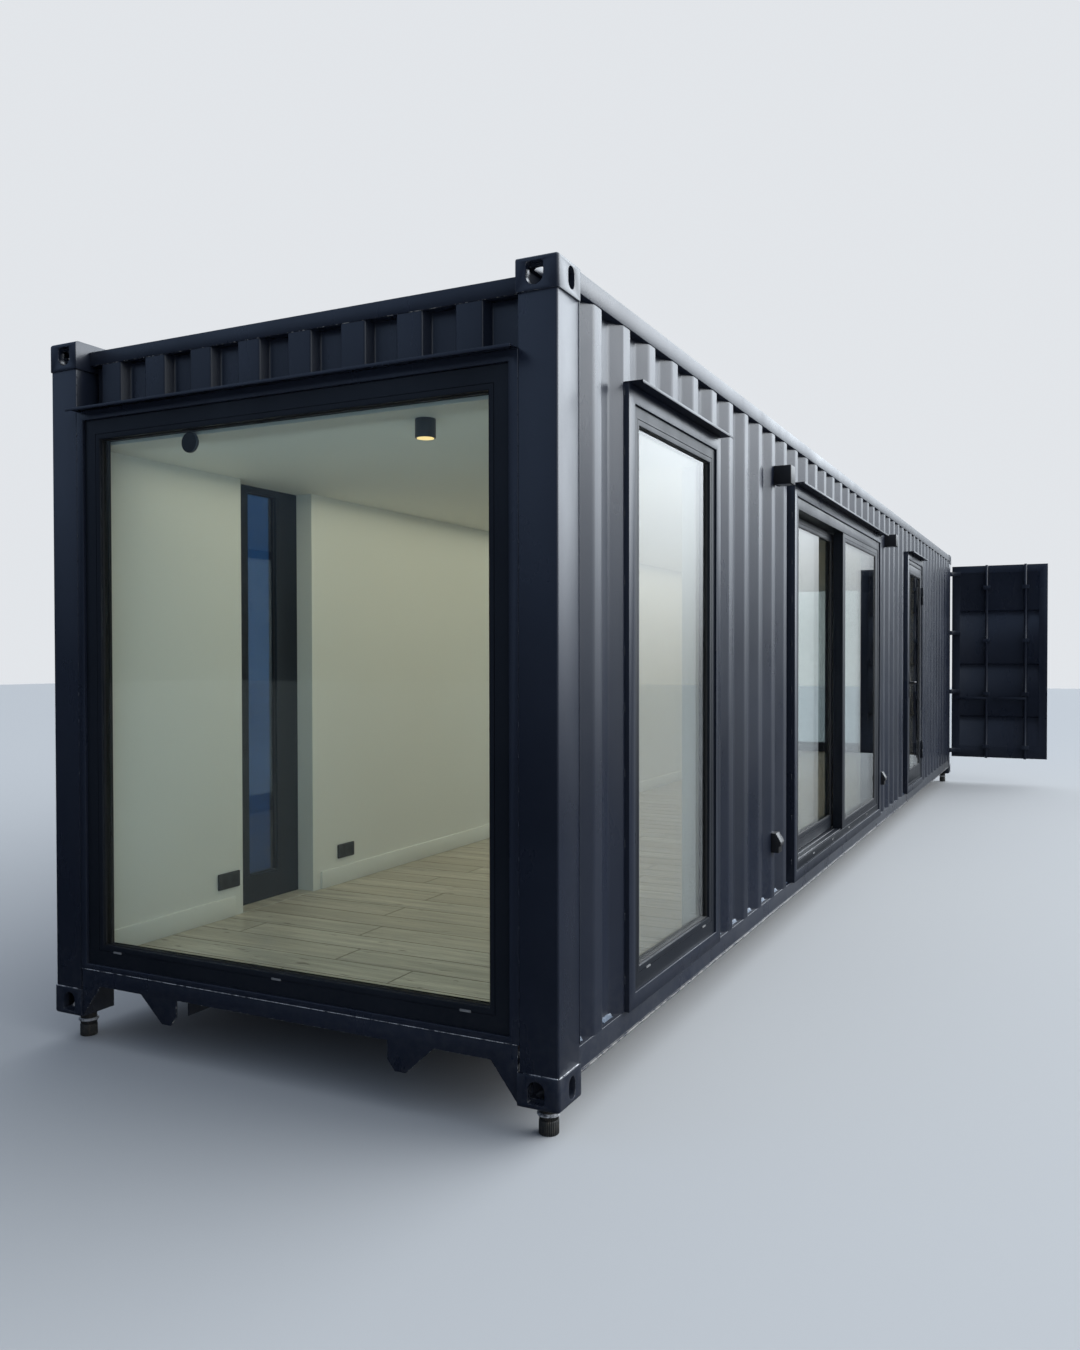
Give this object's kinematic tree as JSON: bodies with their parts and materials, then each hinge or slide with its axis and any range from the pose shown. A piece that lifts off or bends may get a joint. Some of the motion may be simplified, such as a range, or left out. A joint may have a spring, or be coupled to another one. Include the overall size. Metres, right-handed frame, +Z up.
{
  "type": "shipping container cabin",
  "caption": "High-cube steel freight container refitted as a cabin, with full-height glazing, a sliding door, a hinged glazed door and its cargo doors standing open.",
  "frame": {"origin": "centre of the base of the foot under the front right corner casting, on the axis of that casting's aperture", "axes": "+X from the glazed front end to the cargo door end, +Y from the sliding door side to the other side, +Z up"},
  "size_m": [12.3255, 4.778, 3.011],
  "materials": {
    "cabin_paint": "satin",
    "frame_coating": "fine texture",
    "window_glass": "clear",
    "foot_steel": "worn",
    "deck_plywood": "sealed",
    "floor_wood": "matt",
    "lining_white": "matt white paint",
    "handle_metal": "satin",
    "lamp_body": "satin",
    "black_plastic": "satin"
  },
  "bodies": {
    "cabin": {"bottom_side_rails": "cabin_paint", "ceiling": "lining_white", "ceiling_spot": "lamp_body", "corner_castings": "cabin_paint", "cross_members": "cabin_paint", "door_header": "cabin_paint", "door_sill": "cabin_paint", "drip_ledges": "cabin_paint", "end_window_frames": "frame_coating", "end_window_glass": "window_glass", "fixed_leaf_frame": "frame_coating", "fixed_leaf_glass": "window_glass", "floor_deck": "deck_plywood", "floor_planks": "floor_wood", "front_bottom_rail": "cabin_paint", "front_corner_posts": "cabin_paint", "front_header_panel": "cabin_paint", "front_top_rail": "cabin_paint", "front_window_surround": "cabin_paint", "glazed_door_frame": "frame_coating", "glazed_door_surround": "cabin_paint", "gooseneck_tunnel": "cabin_paint", "indoor_sockets": "black_plastic", "left_cargo_leaf": "cabin_paint", "left_locking_bars": "cabin_paint", "left_wall_panel": "cabin_paint", "levelling_feet": "foot_steel", "outdoor_sockets": "black_plastic", "rear_corner_posts": "cabin_paint", "rear_end_wall": "cabin_paint", "reveal_linings": "lining_white", "right_wall_headers": "cabin_paint", "right_wall_panels": "cabin_paint", "roof_panel": "cabin_paint", "round_vent": "lamp_body", "side_window_frames": "frame_coating", "side_window_glass": "window_glass", "side_window_surrounds": "cabin_paint", "skirting_boards": "lining_white", "sliding_door_frame": "frame_coating", "sliding_door_surround": "cabin_paint", "top_side_rails": "cabin_paint", "tunnel_side_members": "cabin_paint", "wall_lamps": "lamp_body", "wall_lining": "lining_white"},
    "sliding_leaf": {"sliding_leaf_frame": "frame_coating", "sliding_leaf_glass": "window_glass"},
    "glazed_door": {"glazed_door_leaf": "frame_coating", "glazed_door_glass": "window_glass", "handle_plates": "handle_metal"},
    "door_lever": {"lever_handle": "handle_metal"},
    "cargo_leaf": {"right_cargo_leaf": "cabin_paint", "right_locking_bars": "cabin_paint"}
  },
  "joints": [
    {"name": "sliding_leaf_slide", "type": "slide", "parent": "cabin", "child": "sliding_leaf", "axis": [1, 0, 0], "range_m": [0, 1.4]},
    {"name": "glazed_door_hinge", "type": "hinge", "parent": "cabin", "child": "glazed_door", "pos_m": [9.006, -0.109, 0.4], "axis": [0, 0, 1], "range_deg": [0, 100]},
    {"name": "door_lever_turn", "type": "hinge", "parent": "glazed_door", "child": "door_lever", "pos_m": [8.111, -0.094, 1.402], "axis": [0, 1, 0], "range_deg": [0, 45], "stiffness_Nm_per_rad": 1.5, "springref_deg": -28.65},
    {"name": "cargo_leaf_hinge", "type": "hinge", "parent": "cabin", "child": "cargo_leaf", "pos_m": [12.0665, -0.0675, 0.415], "axis": [0, 0, -1], "range_deg": [-180, 80]}
  ]
}
